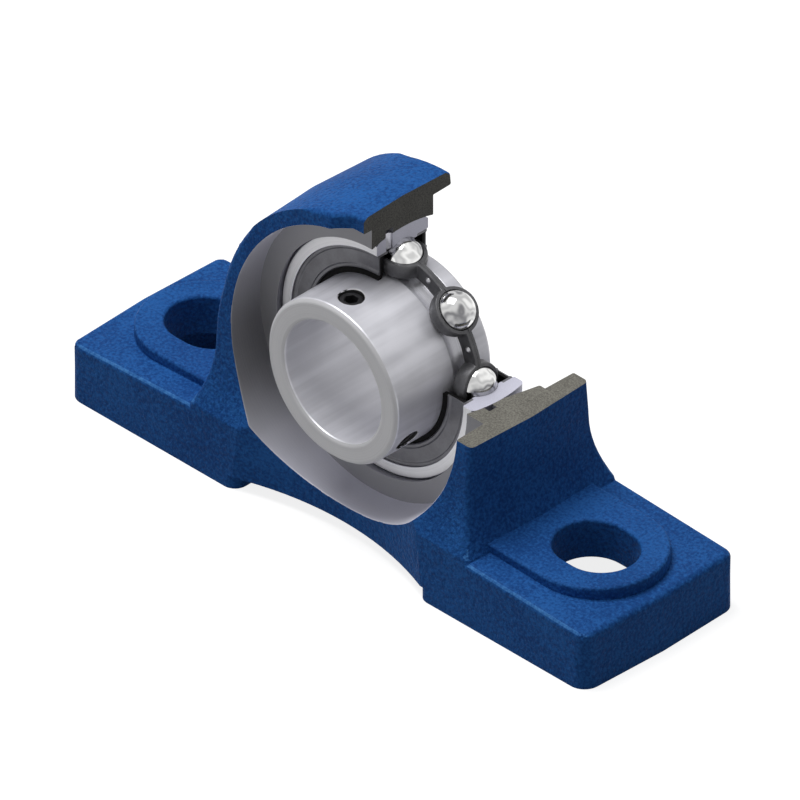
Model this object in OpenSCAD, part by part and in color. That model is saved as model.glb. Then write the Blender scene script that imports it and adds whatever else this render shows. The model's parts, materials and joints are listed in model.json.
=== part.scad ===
// Two-bolt pillow block unit with a self-aligning insert ball bearing.
// A quarter of the housing, outer ring and seals is cut away to show the balls.
// X runs along the base, Y along the shaft, Z up, with the origin under the middle.

/* [Base] */
// Length of the base along X
base_l = 163; // [155:1:175]
// Width of the base along Y
base_w = 48; // [46:0.5:52]
// Height of a foot at its outer end
foot_h = 14.6; // [13:0.1:16]
// Rise of the foot's top from its outer end to the body
foot_rise = 1.6; // [0.8:0.1:2]
// Draft of the ends and the long sides of the base, in degrees
base_draft = 2; // [1:0.5:3]
// Taper of each end away from the middle plane, in degrees
end_taper = 2; // [1:0.5:3]
// Radius of the four upright corners of the base
corner_r = 4.2; // [3:0.1:6]
// Length of the relief under the middle of the base
relief_l = 56.6; // [50:0.1:62]
// Depth of the relief under the middle of the base
relief_h = 3.4; // [2:0.1:4]
// Radius of the feet's inner upright corners in the relief
relief_r = 3.3; // [2:0.1:4]
// Height of the cored hollow under each foot
hollow_h = 8; // [5:0.5:9]
// Thickness of a foot's end and side walls round its hollow
foot_wall = 7; // [5:0.5:8]
// Distance of a hollow's inner end from the middle
hollow_x = 36; // [33:1:42]

/* [Bolt slots] */
// Distance between the two bolt slots
bolt_spacing = 121; // [118:0.5:123]
// Width of a bolt slot
slot_w = 17.5; // [14:0.1:19]
// Length of a bolt slot from end to end
slot_l = 20.7; // [20:0.1:23]
// Width of the raised pad round a bolt slot
pad_w = 33; // [30:0.5:36]
// Rise of the pads above the foot's outer end
pad_rise = 3.4; // [3:0.1:4.5]

/* [Body] */
// Thickness of the body over the recesses, at their floors
rim_t = 4.6; // [4:0.1:6]
// Thickness of the body under the recesses, above the relief
floor_t = 4.6; // [3.5:0.1:7]
// Step out from the round top to the pedestal's sides, at axis height
wall_step = 1; // [0.6:0.1:2]
// Draft of the body away from the middle plane, in degrees
body_draft = 2.5; // [1:0.5:4]
// Radius of the sweep from the pedestal into the feet
flare_r = 36; // [28:1:44]
// Drop from the axis to the start of that sweep
flare_drop = 10; // [8:0.5:12]
// Half thickness of the body at axis height
face_y = 18.3; // [17.5:0.1:19.5]
// Lean of the body's front and back faces, in degrees
face_lean = 5.2; // [3:0.2:6]
// Radius of the sweep from those faces into the base
face_flare_r = 40; // [34:1:46]
// Drop from the axis to the start of that sweep
face_flare_drop = 12; // [10:0.5:14]
// Half thickness of the waist under the bearing
waist_y = 18.4; // [17:0.1:20]
// Radius of the waist's hollow sides, seen from above
waist_r = 81; // [70:1:100]

/* [Housing bore] */
// Half width of the spherical seat, out to the recess floors
seat_y = 9.6; // [9.2:0.1:11]
// Step out from the outer ring's radius to the recesses, at their floors
recess_step = 3.9; // [3:0.1:4.2]
// Draft of the recess walls, in degrees
recess_draft = 1.3; // [0.5:0.1:4]
// Running gap between the seat and the outer ring
seat_gap = 0.05; // [0.03:0.01:0.1]
// Distance of the grease groove in front of the middle plane
groove_y = 4.1; // [3.5:0.1:5]
// Width of the grease groove
groove_w = 2.3; // [1.5:0.1:3]
// Depth of the grease groove below the seat
groove_depth = 1.4; // [0.8:0.1:2]
// Height of the two loading slots in the rear of the seat
loading_h = 18.6; // [18:0.1:22]
// Outward lean of the loading slots' walls, in degrees
loading_lean = 13; // [10:1:15]

/* [Rim notch] */
// Width of the notch floor in the top of the front rim
notch_w = 6.6; // [4:0.1:9]
// Distance of the notch floor from the middle plane
notch_y = 12.1; // [11:0.1:13]
// Angle of the notch sides, in degrees
notch_lean = 54; // [40:1:60]

/* [Outer ring] */
// Diameter of the outer ring's spherical outside
ring_d = 62; // [61.8:0.1:62.4]
// Width of the outer ring
ring_w = 16; // [15.6:0.1:18]
// Chamfer at the outer ring's faces
ring_chamfer = 0.5; // [0.2:0.1:0.8]
// Rise of the shoulders beside the raceway from the pitch circle
shoulder_rise = 3.2; // [3:0.1:3.6]
// Step out from the shoulders to the seats for the seals
seal_seat_step = 0.65; // [0.5:0.05:1]
// Depth of the seats for the seals
seal_seat_depth = 3.4; // [2.6:0.1:3.6]
// Diameter of the grease hole through the outer ring
grease_hole_d = 2; // [1:0.1:2.2]

/* [Balls and cage] */
// Diameter of a ball
ball_d = 9.525; // [9.3:0.025:9.6]
// Radius of the raceway grooves as a share of the ball's diameter
race_share = 0.52; // [0.515:0.005:0.53]
// Running gap between a ball and each raceway
race_gap = 0.02; // [0.01:0.01:0.04]
// Thickness of the cage's pressed sheet
cage_t = 0.8; // [0.5:0.05:0.9]
// Gap between a ball and its cage pocket
pocket_gap = 0.1; // [0.05:0.01:0.15]
// Width of the cage inside the pitch circle
cage_in_w = 2.3; // [1.6:0.1:2.5]
// Width of the cage outside the pitch circle
cage_out_w = 1.5; // [1.2:0.1:2.6]
// Diameter of a cage rivet
rivet_d = 1.2; // [0.8:0.1:1.4]
// Diameter of a rivet head
rivet_head_d = 1.9; // [1.6:0.1:2.4]
// Height of a rivet head
rivet_head_h = 0.5; // [0.3:0.1:0.6]

/* [Inner ring] */
// Diameter of the shaft bore
bore_d = 30; // [28:0.1:31]
// Drop from the pitch circle to the inner ring's outside
inner_drop = 2.8; // [2.7:0.1:3]
// Reach of the inner ring in front of the middle plane
long_side = 22.2; // [21:0.1:24]
// Reach of the inner ring behind the middle plane
short_side = 8; // [7.8:0.1:18]
// Chamfer at the mouths of the shaft bore
bore_chamfer = 0.6; // [0.3:0.1:1]
// Chamfer at the outer edges of the inner ring
inner_chamfer = 0.8; // [0.4:0.1:1.2]

/* [Seals] */
// Inset of a seal's face from the outer ring's face
seal_inset = 0.4; // [0.2:0.1:0.6]
// Thickness of a seal's steel shield
shield_t = 0.6; // [0.4:0.05:0.7]
// Gap between a seal's steel shield and the inner ring
shield_clear = 1.2; // [1:0.1:1.6]
// Thickness of a seal's rubber lip
lip_t = 0.8; // [0.5:0.05:0.9]
// Running gap between the rubber lip and the inner ring
lip_gap = 0.05; // [0.03:0.01:0.1]
// Gap between a shield and its seat in the outer ring
shield_gap = 0.05; // [0.02:0.01:0.08]

/* [Set screws] */
// Diameter of the set screw holes
screw_d = 6; // [5:0.1:7]
// Radial gap between a set screw and its hole
screw_gap = 0.03; // [0.02:0.01:0.08]
// Distance of the set screws from the inner ring's long end
screw_inset = 6.2; // [4.5:0.1:7]
// Depth of a set screw's top below the inner ring's outside
screw_sink = 0.7; // [0.3:0.1:1.2]
// Distance of a set screw's point from the shaft bore
screw_lift = 0.2; // [0.1:0.1:0.6]
// Width across flats of a set screw's socket
socket_af = 3; // [2.5:0.1:3.4]
// Depth of a set screw's socket
socket_depth = 2.4; // [1.5:0.1:3]
// Angle of the side set screw, in degrees from the X axis
side_screw_angle = -30; // [-45:5:0]

/* [Hidden] */
$fn = 128;

paint_blue = [0.06, 0.20, 0.44];
bearing_steel = [0.72, 0.72, 0.74];
ball_steel = [0.88, 0.88, 0.86];
cage_steel = [0.34, 0.34, 0.36];
shield_steel = [0.38, 0.38, 0.40];
lip_rubber = [0.05, 0.05, 0.05];
screw_black = [0.10, 0.10, 0.10];

// Spare length by which a cutting shape passes through what it cuts
over = 1;
// Depth by which a sweep bites into the flat face above it, so that the two cross cleanly
bite = 0.05;
// Number of balls round the pitch circle
ball_n = 8;
ball_step = 360 / ball_n;
pitch_r = (bore_d + ring_d) / 4;
ball_r = ball_d / 2;
race_r = race_share * ball_d;
ring_r = ring_d / 2;
ring_y = ring_w / 2;
inner_r = pitch_r - inner_drop;
shoulder_r = pitch_r + shoulder_rise;
seal_seat_r = shoulder_r + seal_seat_step;
shield_in_r = inner_r + shield_clear;
cage_in_r = pitch_r - cage_in_w;
cage_out_r = pitch_r + cage_out_w;
screw_y = long_side - screw_inset;
seat_r = ring_r + seat_gap;
recess_r = ring_r + recess_step;
body_r = recess_r + rim_t;
wall_x = body_r + wall_step;
// Height of the shaft axis above the mounting face
axis_h = relief_h + floor_t + recess_r;
body_top = axis_h + body_r;
foot_top = foot_h + foot_rise;
pad_h = foot_h + pad_rise;
pocket_in_r = ball_r + pocket_gap;
pocket_out_r = pocket_in_r + cage_t;
outer_race_r = pitch_r - race_r + ball_r + race_gap;
inner_race_r = pitch_r + race_r - ball_r - race_gap;
seal_face_y = ring_y - seal_inset;
seal_floor_y = ring_y - seal_seat_depth;
shield_back_y = seal_face_y - shield_t;

// Turns a shape round Z into one round the shaft axis, with its height along Y
module on_shaft() {
    translate([0, 0, axis_h]) rotate([-90, 0, 0]) children();
}

// Draws a Y-Z outline along X
module along_x(length) {
    translate([-length / 2, 0, 0]) rotate([90, 0, 90]) linear_extrude(length) children();
}

// Draws an X-Z outline along Y
module along_y(length) {
    translate([0, length / 2, 0]) rotate([90, 0, 0]) linear_extrude(length) children();
}

// Doubles a shape by its mirror image along one axis
module both(axis) {
    children();
    mirror(axis) children();
}

// Quarter in front of X = 0 and above the shaft axis, cut away to show the inside
module cutaway() {
    translate([0, -base_w, axis_h]) cube([base_l, 2 * base_w, 2 * body_r]);
}

// Base seen from above, with tapered ends, round corners and the hollow waist
module base_plan() {
    end_x = base_l / 2;
    corner_y = base_w / 2 - corner_r;
    corner_x = end_x - corner_y * tan(end_taper) - corner_r / cos(end_taper);
    round_x = corner_x + corner_r * cos(end_taper);
    round_y = corner_y + corner_r * sin(end_taper);
    difference() {
        union() {
            polygon([
                [end_x, 0], [round_x, round_y], [corner_x, base_w / 2],
                [-corner_x, base_w / 2], [-round_x, round_y], [-end_x, 0],
                [-round_x, -round_y], [-corner_x, -base_w / 2],
                [corner_x, -base_w / 2], [round_x, -round_y]
            ]);
            both([0, 1]) both([1, 0]) translate([corner_x, corner_y]) circle(corner_r);
        }
        both([0, 1]) translate([0, waist_y + waist_r]) circle(waist_r);
    }
}

// Base seen from the front, with drafted ends and a foot top that rises inwards
module base_front() {
    end_x = base_l / 2;
    top_x = end_x - foot_h * tan(base_draft);
    polygon([
        [-end_x, 0], [end_x, 0], [top_x, foot_h], [wall_x, foot_top],
        [-wall_x, foot_top], [-top_x, foot_h]
    ]);
}

// Housing seen from the side, with drafted feet and leaning faces swept into them
module side_outline() {
    foot_y = base_w / 2 - foot_top * tan(base_draft);
    sweep_y = face_y + face_flare_drop * tan(face_lean);
    top_y = face_y - (body_r + over) * tan(face_lean);
    difference() {
        polygon([
            [base_w / 2, 0],
            [foot_y, foot_top],
            [foot_y, axis_h - face_flare_drop],
            [sweep_y, axis_h - face_flare_drop],
            [top_y, body_top + over],
            [-top_y, body_top + over],
            [-sweep_y, axis_h - face_flare_drop],
            [-foot_y, axis_h - face_flare_drop],
            [-foot_y, foot_top],
            [-base_w / 2, 0]
        ]);
        both([1, 0]) translate([
            sweep_y + face_flare_r * cos(face_lean) - bite,
            axis_h - face_flare_drop + face_flare_r * sin(face_lean)
        ]) circle(face_flare_r);
    }
}

// Pedestal seen from the front, from the round top down through the sweep into the feet
module pedestal_front() {
    touch = 2 * acos(body_r / wall_x);
    reach = wall_x + flare_r - sqrt(flare_r * flare_r - pow(axis_h - flare_drop - foot_h, 2));
    difference() {
        polygon([
            [reach, 0],
            [reach, axis_h - flare_drop],
            [wall_x, axis_h - flare_drop],
            [wall_x, axis_h],
            [body_r * cos(touch), axis_h + body_r * sin(touch)],
            [-body_r * cos(touch), axis_h + body_r * sin(touch)],
            [-wall_x, axis_h],
            [-wall_x, axis_h - flare_drop],
            [-reach, axis_h - flare_drop],
            [-reach, 0]
        ]);
        both([1, 0]) translate([wall_x + flare_r - bite, axis_h - flare_drop]) circle(flare_r);
    }
}

// Round top of the body, which tapers both ways from the middle plane
module body_top_round() {
    end_r = body_r - base_w / 2 * tan(body_draft);
    on_shaft() rotate_extrude() polygon([
        [0, -base_w / 2], [end_r, -base_w / 2], [body_r, 0], [end_r, base_w / 2], [0, base_w / 2]
    ]);
}

// Flat-topped raised pad round each bolt slot
module pads() {
    both([1, 0, 0]) linear_extrude(pad_h) {
        translate([bolt_spacing / 2, 0]) circle(d = pad_w);
        translate([-over, -pad_w / 2]) square([bolt_spacing / 2 + over, pad_w]);
    }
}

// Outside of the casting before the bore and the slots are cut
module casting() {
    length = base_l + 2 * over;
    intersection() {
        union() {
            intersection() {
                linear_extrude(foot_top + over) base_plan();
                rotate([0, 0, end_taper]) along_y(length) base_front();
                rotate([0, 0, -end_taper]) along_y(length) base_front();
            }
            intersection() {
                linear_extrude(body_top + over) base_plan();
                union() {
                    body_top_round();
                    intersection() {
                        rotate([0, 0, body_draft]) along_y(length) pedestal_front();
                        rotate([0, 0, -body_draft]) along_y(length) pedestal_front();
                    }
                }
            }
            pads();
        }
        along_x(length) side_outline();
    }
}

// Spherical seat with its recesses, grease groove and loading slots
module bore_space() {
    mouth_y = base_w / 2 + over;
    mouth_r = recess_r + (mouth_y - seat_y) * tan(recess_draft);
    loading_r = ring_r + seat_y * tan(loading_lean);
    on_shaft() sphere(seat_r);
    both([0, 1, 0]) on_shaft() translate([0, 0, seat_y])
        cylinder(h = mouth_y - seat_y, r1 = recess_r, r2 = mouth_r);
    on_shaft() translate([0, 0, -groove_y - groove_w / 2]) cylinder(h = groove_w, r = seat_r + groove_depth);
    intersection() {
        on_shaft() cylinder(h = seat_y, r1 = ring_r, r2 = loading_r);
        translate([-base_l / 2, 0, axis_h - loading_h / 2]) cube([base_l, base_w, loading_h]);
    }
}

// Notch through the top of the front rim
module rim_notch() {
    floor_x = notch_w / 2;
    mouth_x = floor_x + (base_w / 2 - notch_y) * tan(notch_lean);
    translate([0, 0, axis_h + seat_r]) linear_extrude(body_r) polygon([
        [-floor_x, -notch_y], [floor_x, -notch_y], [mouth_x, -base_w / 2], [-mouth_x, -base_w / 2]
    ]);
}

// Slots for the two mounting bolts
module bolt_slots() {
    half = (slot_l - slot_w) / 2;
    both([1, 0, 0]) translate([bolt_spacing / 2, 0, -over]) linear_extrude(pad_h + 2 * over) {
        both([1, 0]) translate([half, 0]) circle(d = slot_w);
        square([2 * half, slot_w], center = true);
    }
}

// Shallow relief under the middle of the base, with round corners towards the feet
module relief() {
    half = relief_l / 2;
    reach = half + relief_r;
    side = base_w / 2 + over;
    translate([0, 0, -over]) linear_extrude(relief_h + over) {
        square([relief_l, 2 * side], center = true);
        both([0, 1]) both([1, 0]) difference() {
            translate([half, base_w / 2 - relief_r]) square([relief_r, relief_r + over]);
            translate([reach, base_w / 2 - relief_r]) circle(relief_r);
        }
    }
}

// Cored hollow under each foot, with a round outer end and two round inner corners
module foot_hollows() {
    half = base_w / 2 - foot_wall;
    end_x = base_l / 2 - foot_wall - half;
    start_x = hollow_x + relief_r;
    both([1, 0, 0]) translate([0, 0, -over]) linear_extrude(hollow_h + over) {
        translate([end_x, 0]) circle(half);
        translate([start_x, -half]) square([end_x - start_x, 2 * half]);
        translate([hollow_x, relief_r - half]) square([end_x - hollow_x, 2 * (half - relief_r)]);
        both([0, 1]) translate([start_x, half - relief_r]) circle(relief_r);
    }
}

module housing() {
    color(paint_blue) difference() {
        casting();
        bore_space();
        rim_notch();
        bolt_slots();
        relief();
        foot_hollows();
        cutaway();
    }
}

// Ring-shaped raceway groove that the balls run in
module raceway(centre_r) {
    on_shaft() rotate_extrude() translate([centre_r, 0]) circle(race_r);
}

module outer_ring() {
    edge_r = sqrt(ring_r * ring_r - ring_y * ring_y);
    face_r = edge_r - ring_chamfer;
    color(bearing_steel) difference() {
        intersection() {
            on_shaft() sphere(ring_r);
            on_shaft() rotate_extrude() polygon([
                [0, -ring_y], [face_r, -ring_y], [face_r + ring_y, 0], [face_r, ring_y], [0, ring_y]
            ]);
        }
        on_shaft() cylinder(h = 2 * ring_w, r = shoulder_r, center = true);
        both([0, 1, 0]) on_shaft() translate([0, 0, seal_floor_y]) cylinder(h = ring_w, r = seal_seat_r);
        raceway(outer_race_r);
        translate([0, -groove_y, axis_h]) cylinder(h = 2 * ring_r, d = grease_hole_d);
        cutaway();
    }
}

module inner_ring() {
    bore_r = bore_d / 2;
    color(bearing_steel) difference() {
        on_shaft() rotate_extrude() polygon([
            [bore_r + bore_chamfer, -long_side],
            [inner_r - inner_chamfer, -long_side],
            [inner_r, -long_side + inner_chamfer],
            [inner_r, short_side - inner_chamfer],
            [inner_r - inner_chamfer, short_side],
            [bore_r + bore_chamfer, short_side],
            [bore_r, short_side - bore_chamfer],
            [bore_r, -long_side + bore_chamfer]
        ]);
        raceway(inner_race_r);
        at_screw(90) cylinder(h = 2 * inner_r, d = screw_d);
        at_screw(side_screw_angle) cylinder(h = 2 * inner_r, d = screw_d);
    }
}

// Places a shape on a radial line through a set screw, with its height outwards
module at_screw(angle) {
    translate([0, -screw_y, axis_h]) rotate([0, 90 - angle, 0]) children();
}

// Socket set screw with a chamfered top and a cupped point
module set_screw(angle) {
    r = screw_d / 2 - screw_gap;
    low = bore_d / 2 + screw_lift;
    high = inner_r - screw_sink;
    chamfer = r / 6;
    cup = r / 3;
    color(screw_black) at_screw(angle) difference() {
        rotate_extrude() polygon([
            [0, low + cup], [r - 2 * cup, low + cup], [r - cup, low], [r, low + cup],
            [r, high - chamfer], [r - chamfer, high], [0, high]
        ]);
        translate([0, 0, high - socket_depth])
            cylinder(h = socket_depth + over, r = socket_af / 2 / cos(30), $fn = 6);
    }
}

// Places a shape on the pitch circle, counted in ball steps from the X axis
module at_pitch(step) {
    angle = step * ball_step;
    translate([pitch_r * cos(angle), 0, axis_h + pitch_r * sin(angle)]) children();
}

module ball(number) {
    color(ball_steel) at_pitch(number - 1) sphere(ball_r);
}

// Places a shape at every ball, in the frame of a shape round the shaft axis
module at_balls(offset_steps) {
    for (step = [0 : ball_n - 1])
        rotate([0, 0, (step + offset_steps) * ball_step]) translate([pitch_r, 0, 0]) children();
}

// Flat band and round pockets of the cage, kept to one side of the middle plane
module cage_half() {
    reach = pocket_out_r + over;
    on_shaft() difference() {
        intersection() {
            union() {
                translate([0, 0, -over]) cylinder(h = cage_t + over, r = cage_out_r + over);
                at_balls(0) sphere(pocket_out_r);
            }
            difference() {
                cylinder(h = reach, r = cage_out_r);
                translate([0, 0, -over]) cylinder(h = reach + 2 * over, r = cage_in_r);
            }
        }
        at_balls(0) sphere(pocket_in_r);
        at_balls(0.5) cylinder(h = 4 * cage_t, d = rivet_d, center = true);
    }
}

module cage_front() {
    color(cage_steel) mirror([0, 1, 0]) cage_half();
}

module cage_rear() {
    color(cage_steel) cage_half();
}

// Round-headed rivet along Y, with a head on each face of the cage
module rivet() {
    head_r = rivet_head_d / 2;
    dome_r = (head_r * head_r + rivet_head_h * rivet_head_h) / (2 * rivet_head_h);
    rotate([90, 0, 0]) union() {
        cylinder(h = 2 * cage_t, d = rivet_d, center = true);
        both([0, 0, 1]) translate([0, 0, cage_t]) intersection() {
            translate([0, 0, rivet_head_h - dome_r]) sphere(dome_r);
            cylinder(h = rivet_head_h + over, r = 2 * head_r);
        }
    }
}

module cage_rivets() {
    color(ball_steel) for (step = [0 : ball_n - 1]) at_pitch(step + 0.5) rivet();
}

// Pressed steel shield with a rim that sits in the outer ring and two rolled beads
module shield() {
    out_r = seal_seat_r - shield_gap;
    bead = shield_t / 2;
    difference() {
        on_shaft() rotate_extrude() polygon([
            [shield_in_r, shield_back_y],
            [out_r - shield_t, shield_back_y],
            [out_r - shield_t, seal_floor_y],
            [out_r, seal_floor_y],
            [out_r, seal_face_y],
            [out_r - 2 * bead, seal_face_y],
            [out_r - 3 * bead, seal_face_y - bead],
            [shield_in_r + 4 * bead, seal_face_y - bead],
            [shield_in_r + 3 * bead, seal_face_y],
            [shield_in_r + bead, seal_face_y],
            [shield_in_r, seal_face_y - bead]
        ]);
        cutaway();
    }
}

// Rubber lip on the inner side of the shield, with an edge that runs on the inner ring
module lip() {
    run_r = inner_r + lip_gap;
    out_r = seal_seat_r - shield_gap - shield_t;
    difference() {
        on_shaft() rotate_extrude() polygon([
            [run_r, shield_back_y - lip_t / 2],
            [shield_in_r, shield_back_y - lip_t],
            [out_r, shield_back_y - lip_t],
            [out_r, shield_back_y],
            [shield_in_r, shield_back_y],
            [run_r, shield_back_y + shield_t / 2]
        ]);
        cutaway();
    }
}

module seal_front_shield() {
    color(shield_steel) mirror([0, 1, 0]) shield();
}

module seal_front_lip() {
    color(lip_rubber) mirror([0, 1, 0]) lip();
}

module seal_rear_shield() {
    color(shield_steel) shield();
}

module seal_rear_lip() {
    color(lip_rubber) lip();
}

housing();
outer_ring();
inner_ring();
ball(1);  // ball_1
ball(2);  // ball_2
ball(3);  // ball_3
ball(4);  // ball_4
ball(5);  // ball_5
ball(6);  // ball_6
ball(7);  // ball_7
ball(8);  // ball_8
cage_front();
cage_rear();
cage_rivets();
seal_front_shield();
seal_front_lip();
seal_rear_shield();
seal_rear_lip();
set_screw(90);  // set_screw_top
set_screw(side_screw_angle);  // set_screw_side
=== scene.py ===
"""Dresses a cut-away pillow block bearing with its finishes, soft edges and studio light."""

import json
import logging
import math
from dataclasses import dataclass, field
from enum import Enum
from typing import Any, Callable, Iterable, Protocol

import bmesh
import bpy
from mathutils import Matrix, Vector


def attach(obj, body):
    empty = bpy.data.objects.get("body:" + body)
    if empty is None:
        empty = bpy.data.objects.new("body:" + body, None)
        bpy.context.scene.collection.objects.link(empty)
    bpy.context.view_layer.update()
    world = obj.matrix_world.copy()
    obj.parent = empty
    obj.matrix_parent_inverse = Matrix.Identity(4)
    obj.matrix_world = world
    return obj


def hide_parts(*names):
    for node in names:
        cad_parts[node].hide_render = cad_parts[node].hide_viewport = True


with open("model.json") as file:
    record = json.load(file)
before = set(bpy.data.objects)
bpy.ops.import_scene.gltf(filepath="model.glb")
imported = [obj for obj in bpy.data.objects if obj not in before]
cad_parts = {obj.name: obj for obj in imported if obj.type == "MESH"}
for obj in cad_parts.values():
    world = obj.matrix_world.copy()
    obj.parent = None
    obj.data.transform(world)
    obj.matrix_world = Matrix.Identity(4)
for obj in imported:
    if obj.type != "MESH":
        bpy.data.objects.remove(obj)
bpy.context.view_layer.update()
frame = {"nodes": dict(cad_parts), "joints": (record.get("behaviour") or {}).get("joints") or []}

MM = 0.001
LOG = logging.getLogger("pillow_block")
Colour = tuple[float, float, float]
Span = tuple[float, float]

# Numbers that several pieces share, with lengths in millimetres
BALLS = 8
PITCH_R = 23.0
RACE_Y = 3.7


class Region(Enum):
    """The kinds of surface that one casting or ring can show."""

    PAINT = "paint"
    CUT = "cut"
    # The cut face that looks sideways, painted darker as shade
    SHADED_CUT = "shaded cut"
    # A painted highlight along rounded edges
    PAINTED_HIGHLIGHT = "painted edge highlight"
    BORE = "bore"
    THREAD = "thread"
    BORED = "bored"
    LAND = "land"
    SEAT = "seat"
    GROUND = "ground"
    FACE = "face"
    RACE = "race"


class Side(Enum):
    """The two ends of the bearing along the shaft."""

    FRONT = -1
    REAR = 1


# Shader building


class Wire:
    """A shader value that can be used in plain Python sums."""

    def __init__(self, wiring: "Wiring", socket: bpy.types.NodeSocket) -> None:
        """Wraps one output socket of a node tree."""
        self.wiring = wiring
        self.socket = socket

    def _math(self, operation: str, first: Any, second: Any = None) -> "Wire":
        """Adds one Math node and returns its result."""
        values = {0: first} if second is None else {0: first, 1: second}
        return self.wiring.node("ShaderNodeMath", {"operation": operation}, values)

    def __add__(self, other: Any) -> "Wire":
        """Sum of the two values."""
        return self._math("ADD", self, other)

    __radd__ = __add__

    def __sub__(self, other: Any) -> "Wire":
        """Difference of the two values."""
        return self._math("SUBTRACT", self, other)

    def __rsub__(self, other: Any) -> "Wire":
        """Difference of the two values, the other way round."""
        return self._math("SUBTRACT", other, self)

    def __mul__(self, other: Any) -> "Wire":
        """Product of the two values."""
        return self._math("MULTIPLY", self, other)

    __rmul__ = __mul__

    def __truediv__(self, other: Any) -> "Wire":
        """Quotient of the two values."""
        return self._math("DIVIDE", self, other)

    def __rtruediv__(self, other: Any) -> "Wire":
        """Quotient of the two values, the other way round."""
        return self._math("DIVIDE", other, self)

    def __pow__(self, other: Any) -> "Wire":
        """This value raised to the other one."""
        return self._math("POWER", self, other)

    def __rpow__(self, other: Any) -> "Wire":
        """The other value raised to this one."""
        return self._math("POWER", other, self)

    def larger(self, other: Any) -> "Wire":
        """The larger of the two values."""
        return self._math("MAXIMUM", self, other)

    def wave(self, turns: float) -> "Wire":
        """A wave between zero and one that runs this many turns over one unit."""
        return self._math("SINE", self * (2 * math.pi * turns)) * 0.5 + 0.5

    def step(self, low: float, high: float) -> "Wire":
        """A smooth step from zero at low to one at high.

        Args:
            low: Value at which the step starts.
            high: Value at which the step ends.

        Returns:
            The step, from zero to one.
        """
        settings = {"interpolation_type": "SMOOTHSTEP"}
        values = {0: self, 1: low, 2: high, 3: 0.0, 4: 1.0}
        return self.wiring.node("ShaderNodeMapRange", settings, values)


class Wiring:
    """A shader's node tree, built from plain Python values."""

    def __init__(self, tree: bpy.types.NodeTree) -> None:
        """Takes a node tree to add to."""
        self.tree = tree

    def node(self, kind: str, settings: dict[str, Any], values: dict[Any, Any], output: Any = 0) -> Wire:
        """Adds a node of any type.

        Args:
            kind: Node type, as Blender names it.
            settings: Properties of the node, set first.
            values: Numbers, colours or wires for its sockets, by index or name.
            output: Index or name of the output to return.

        Returns:
            The chosen output as a wire.
        """
        made = self.tree.nodes.new(kind)
        for key, value in settings.items():
            setattr(made, key, value)
        for key, value in values.items():
            self.feed(made.inputs[key], value)
        return Wire(self, made.outputs[output])

    def feed(self, socket: bpy.types.NodeSocket, value: Any) -> None:
        """Links a wire to a socket, or sets the socket to a constant."""
        if isinstance(value, Wire):
            self.tree.links.new(value.socket, socket)
        elif isinstance(value, tuple) and socket.type == "RGBA":
            socket.default_value = (*value, 1.0)
        else:
            socket.default_value = value

    def ray(self, kind: str) -> Wire:
        """One where a ray is of the given kind, and zero for other rays."""
        return self.node("ShaderNodeLightPath", {}, {}, f"Is {kind} Ray")


class Recipe(Wiring):
    """One procedural material and the node tree behind it."""

    def __init__(self, name: str) -> None:
        """Starts a material with a Principled shader."""
        self.material = bpy.data.materials.new(name)
        self.material.use_nodes = True
        super().__init__(self.material.node_tree)
        self.shader = self.tree.nodes["Principled BSDF"]
        self._place: Wire | None = None

    def put(self, **values: Any) -> None:
        """Feeds the Principled shader's sockets, named with underscores for spaces."""
        for key, value in values.items():
            socket = key.replace("_", " ").title().replace("Ior", "IOR")
            self.feed(self.shader.inputs[socket], value)

    def place(self) -> Wire:
        """The point on the piece, in metres."""
        if self._place is None:
            self._place = self.node("ShaderNodeTexCoord", {}, {}, "Object")
        return self._place

    def turned(self, centre: Vector) -> Wire:
        """The point seen from the shaft axis: along X and Z across it, Y along it."""
        settings = {"operation": "SUBTRACT"}
        return self.node("ShaderNodeVectorMath", settings, {0: self.place(), 1: tuple(centre)})

    def parts(self, vector: Wire) -> tuple[Wire, Wire, Wire]:
        """The three components of a vector."""
        first = self.node("ShaderNodeSeparateXYZ", {}, {0: vector})
        return tuple(Wire(self, socket) for socket in first.socket.node.outputs)

    def noise(
        self,
        size_mm: float,
        detail: float = 2.0,
        rough: float = 0.5,
        at: Wire | None = None,
    ) -> Wire:
        """Soft noise from zero to one.

        Args:
            size_mm: Rough size of a blotch in millimetres.
            detail: Number of finer layers.
            rough: Strength of the finer layers.
            at: Point to read, or None for the piece's own coordinates.

        Returns:
            The noise as a wire.
        """
        values = {
            "Vector": at or self.place(),
            "Scale": 1.0 / (size_mm * MM),
            "Detail": detail,
            "Roughness": rough,
        }
        return self.node("ShaderNodeTexNoise", {"noise_dimensions": "3D"}, values)

    def mottle(self, fine: Wire, broad: Wire, share: float, contrast: Span) -> Wire:
        """A mottled tone from zero to one.

        Args:
            fine: Fine noise.
            broad: Broad noise.
            share: Share of the broad noise in the tone.
            contrast: Values at which the tone starts and ends.

        Returns:
            The tone as a wire.
        """
        return (broad * share + fine * (1.0 - share)).step(*contrast)

    def blend(self, amount: Any, first: Any, second: Any) -> Wire:
        """Mixes two colours by an amount from zero to one."""
        settings = {"data_type": "RGBA", "clamp_factor": True}
        return self.node("ShaderNodeMix", settings, {0: amount, 6: first, 7: second}, 2)

    def bump(self, height: Wire, depth_mm: float) -> None:
        """Feeds the shader's normal with a bump of the given depth."""
        values = {"Strength": 1.0, "Distance": depth_mm * MM, "Height": height}
        self.put(Normal=self.node("ShaderNodeBump", {}, values))


# Finishes


class Finish(Protocol):
    """What each finish can do."""

    def make(self) -> bpy.types.Material:
        """The finish's material."""


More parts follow.
